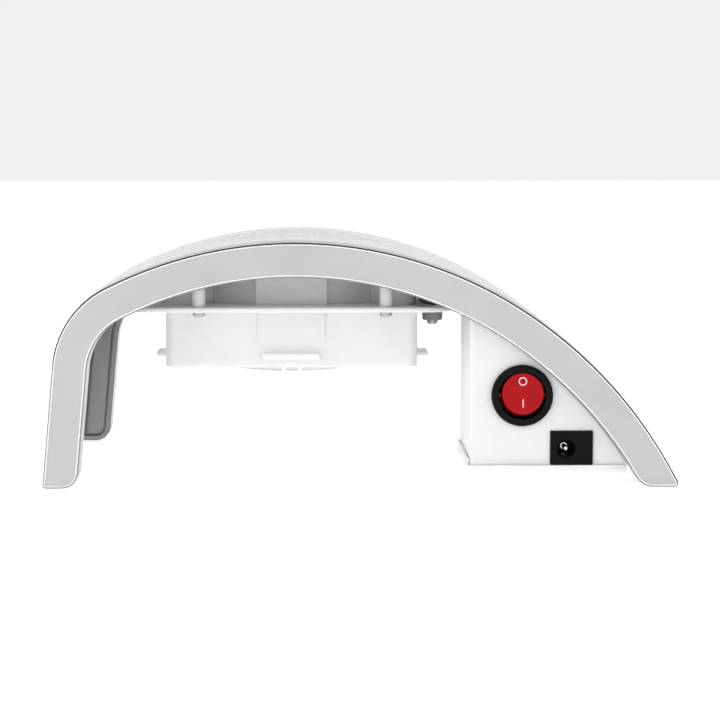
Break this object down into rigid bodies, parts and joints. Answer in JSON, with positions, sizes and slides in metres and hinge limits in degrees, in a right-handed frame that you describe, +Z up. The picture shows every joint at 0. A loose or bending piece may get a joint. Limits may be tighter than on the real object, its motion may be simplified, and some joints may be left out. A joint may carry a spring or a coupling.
{
  "type": "nail dust collector",
  "caption": "Arched tabletop nail dust collector with silver side frames, fan box under the crown, rocker switch and DC inlet.",
  "frame": {"origin": "centre of the bounding box at the height of the feet's soles", "axes": "+X along the long side towards the switch-box slope, +Y away from the switch side, +Z up"},
  "size_m": [0.2368, 0.15, 0.0915],
  "materials": {
    "white_abs": "moulded ABS, satin gloss",
    "silver_plated_abs": "satin silver face, polished bevel",
    "fan_black_pbt": "moulded glass-filled PBT",
    "seal_foam": "closed-cell foam",
    "ferrite": "bonded ferrite ring",
    "steel": "nickel-plated steel",
    "stator_steel": "stacked laminations",
    "enamelled_copper": "enamelled copper wire",
    "circuit_board": "green solder mask",
    "grey_rubber": "moulded grey rubber",
    "switch_black_nylon": "moulded nylon",
    "rocker_red": "moulded red polycarbonate",
    "mark_white": "printed pale marks",
    "contact_brass": "stamped brass",
    "jack_black": "moulded PBT",
    "nickel": "nickel-plated brass",
    "black_pvc": "PVC sheath",
    "red_pvc": "PVC insulation"
  },
  "bodies": {
    "casing": {"arch_shell": "white_abs", "mounting_plate": "white_abs", "intake_duct": "white_abs", "fan_housing": "white_abs", "outlet_guard": "white_abs", "power_box": "white_abs", "box_lid": "white_abs", "front_frame": "silver_plated_abs", "rear_frame": "silver_plated_abs", "fan_frame": "fan_black_pbt", "fan_seal": "seal_foam", "fan_bearings": "steel", "stator_core": "stator_steel", "stator_coils": "enamelled_copper", "motor_board": "circuit_board", "plate_screws": "steel", "fan_screws": "steel", "plate_bushings": "grey_rubber", "bushing_screws": "steel", "lid_screws": "steel", "switch_body": "switch_black_nylon", "switch_terminals": "contact_brass", "dc_jack_body": "jack_black", "dc_jack_pin": "nickel", "dc_jack_contact": "contact_brass", "fan_cable": "black_pvc", "red_leads": "red_pvc", "black_leads": "black_pvc"},
    "rotor": {"fan_rotor": "fan_black_pbt", "rotor_magnet": "ferrite", "rotor_shaft": "steel", "shaft_clip": "steel"},
    "rocker": {"switch_rocker": "rocker_red", "switch_marks": "mark_white", "switch_plunger": "switch_black_nylon", "switch_spring": "steel"},
    "contact": {"contact_blade": "contact_brass"}
  },
  "joints": [
    {"name": "rotor_spin", "type": "hinge", "parent": "casing", "child": "rotor", "pos_m": [-0.0257, 0, 0.0557], "axis": [0, 0, 1], "continuous": true},
    {"name": "rocker_tilt", "type": "hinge", "parent": "casing", "child": "rocker", "pos_m": [0.0606, -0.0655, 0.0335], "axis": [1, 0, 0], "range_deg": [0, 24]},
    {"name": "contact_tilt", "type": "hinge", "parent": "casing", "child": "contact", "pos_m": [0.0606, -0.0571, 0.0335], "axis": [1, 0, 0], "range_deg": [-16, 0]}
  ],
  "couplings": [
    {"joint": "contact_tilt", "follows": "rocker_tilt", "ratio": -0.6666}
  ]
}
